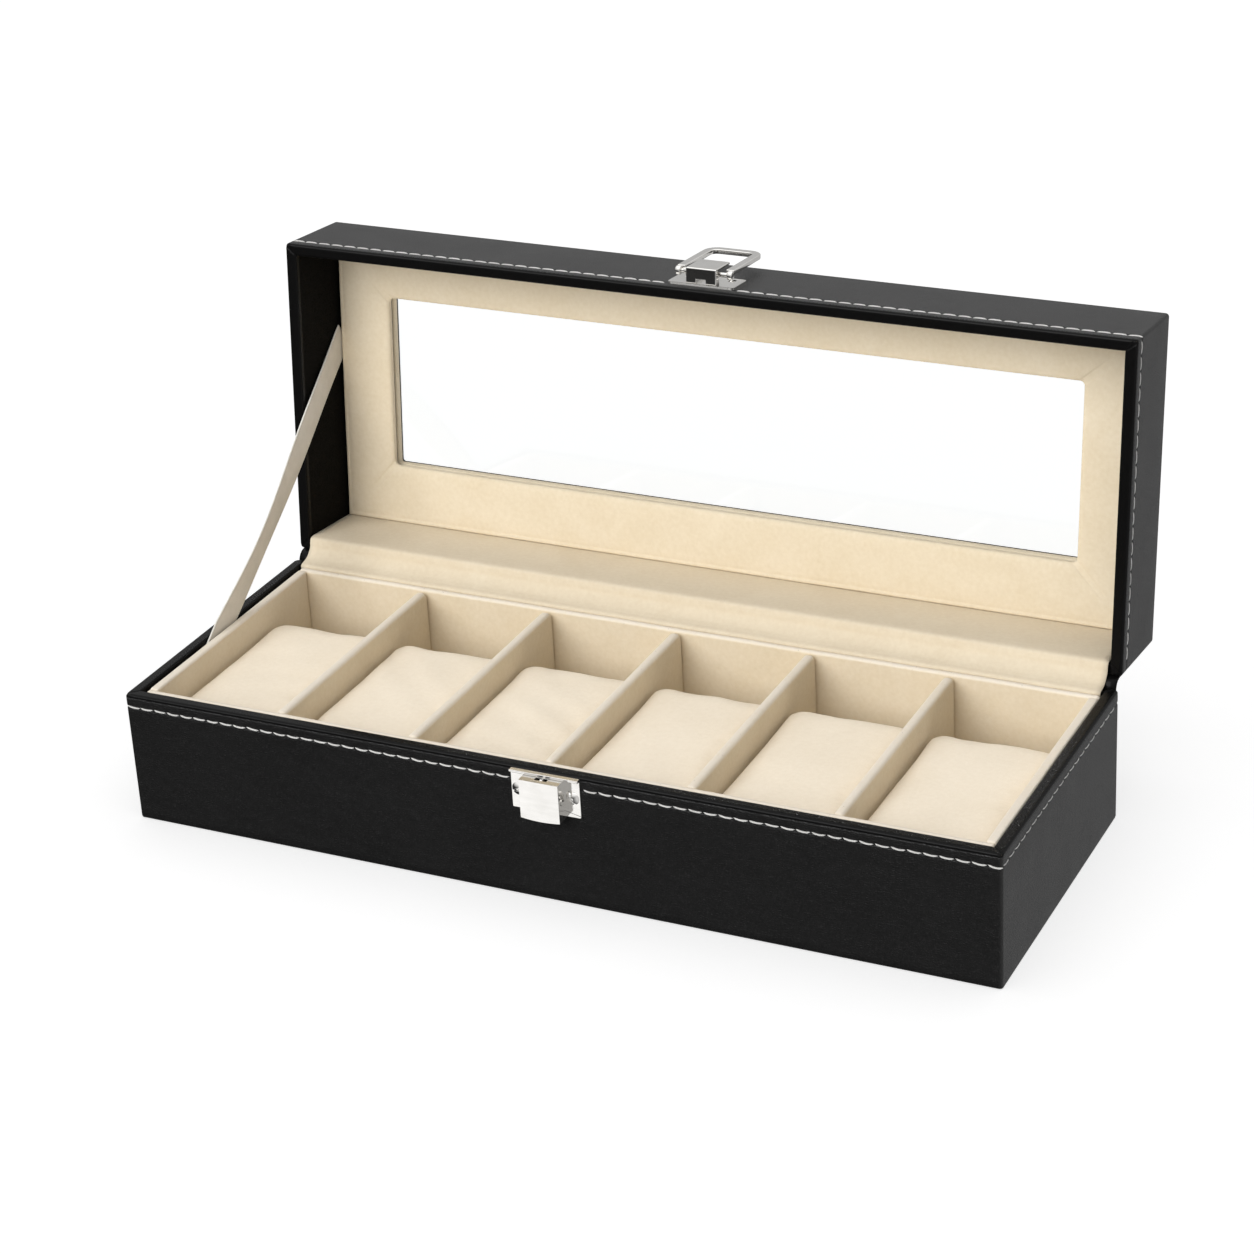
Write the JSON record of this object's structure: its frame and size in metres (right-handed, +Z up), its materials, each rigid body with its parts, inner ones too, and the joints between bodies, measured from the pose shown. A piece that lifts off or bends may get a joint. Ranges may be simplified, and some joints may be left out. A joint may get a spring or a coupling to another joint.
{
  "type": "watch box",
  "caption": "Leather-covered watch box with a hinged window lid, velvet compartments, removable cushions, a ribbon stay and a flip hasp.",
  "frame": {"origin": "centre of the base's underside, on the surface it stands on", "axes": "+Z up, +X to the right along the front as seen from the front, +Y to the hinge side; lid stored open at 95.5 degrees"},
  "size_m": [0.3006, 0.1632, 0.1637],
  "materials": {
    "black_leather": "grained, semi-gloss",
    "case_board": "raw fibreboard",
    "cream_velvet": "short nap",
    "pillow_velvet": "short nap, padded",
    "satin_ribbon": "satin",
    "white_thread": "twisted thread",
    "backing_cloth": "matte",
    "clear_pane": "clear",
    "polished_nickel": "mirror polished"
  },
  "bodies": {
    "base": {"underside_sheet": "backing_cloth", "base_floor": "case_board", "base_left_wall": "case_board", "base_right_wall": "case_board", "base_front_wall": "case_board", "base_back_wall": "case_board", "base_cover": "black_leather", "base_stitching": "white_thread", "tray_floor_pad": "cream_velvet", "tray_front_liner": "cream_velvet", "tray_back_liner": "cream_velvet", "tray_left_liner": "cream_velvet", "tray_right_liner": "cream_velvet", "divider_1": "cream_velvet", "divider_2": "cream_velvet", "divider_3": "cream_velvet", "divider_4": "cream_velvet", "divider_5": "cream_velvet", "catch_plate": "polished_nickel", "catch_block": "polished_nickel", "catch_clip": "polished_nickel", "catch_screws": "polished_nickel", "hinge_leather": "black_leather", "hinge_lining": "cream_velvet", "stay_ribbon": "satin_ribbon"},
    "lid": {"lid_left_wall": "case_board", "lid_right_wall": "case_board", "lid_front_wall": "case_board", "lid_back_wall": "case_board", "lid_top_board": "case_board", "lid_cover": "black_leather", "lid_stitching": "white_thread", "window_pane": "clear_pane", "window_frame": "cream_velvet", "window_reveal": "cream_velvet", "hasp_plate": "polished_nickel", "hasp_bracket": "polished_nickel", "hasp_pin": "polished_nickel", "hasp_spring": "polished_nickel", "hasp_rivets": "polished_nickel"},
    "ring": {"hasp_ring": "polished_nickel"},
    "cushion_1": {"pillow_1": "pillow_velvet"},
    "cushion_2": {"pillow_2": "pillow_velvet"},
    "cushion_3": {"pillow_3": "pillow_velvet"},
    "cushion_4": {"pillow_4": "pillow_velvet"},
    "cushion_5": {"pillow_5": "pillow_velvet"},
    "cushion_6": {"pillow_6": "pillow_velvet"}
  },
  "joints": [
    {"name": "lid_hinge", "type": "hinge", "parent": "base", "child": "lid", "pos_m": [0, 0.0576, 0.0461], "axis": [-1, 0, 0], "range_deg": [-95.5, 0], "deforming": ["hinge_leather", "hinge_lining", "stay_ribbon"]},
    {"name": "ring_hinge", "type": "hinge", "parent": "lid", "child": "ring", "pos_m": [0, 0.07633, 0.16134], "axis": [-1, 0, 0], "range_deg": [-180, 0], "stiffness_Nm_per_rad": 0.0002},
    {"name": "cushion_1_lift", "type": "slide", "parent": "base", "child": "cushion_1", "axis": [0, 0, 1], "range_m": [0, 0.033]},
    {"name": "cushion_2_lift", "type": "slide", "parent": "base", "child": "cushion_2", "axis": [0, 0, 1], "range_m": [0, 0.033]},
    {"name": "cushion_3_lift", "type": "slide", "parent": "base", "child": "cushion_3", "axis": [0, 0, 1], "range_m": [0, 0.033]},
    {"name": "cushion_4_lift", "type": "slide", "parent": "base", "child": "cushion_4", "axis": [0, 0, 1], "range_m": [0, 0.033]},
    {"name": "cushion_5_lift", "type": "slide", "parent": "base", "child": "cushion_5", "axis": [0, 0, 1], "range_m": [0, 0.033]},
    {"name": "cushion_6_lift", "type": "slide", "parent": "base", "child": "cushion_6", "axis": [0, 0, 1], "range_m": [0, 0.033]}
  ]
}
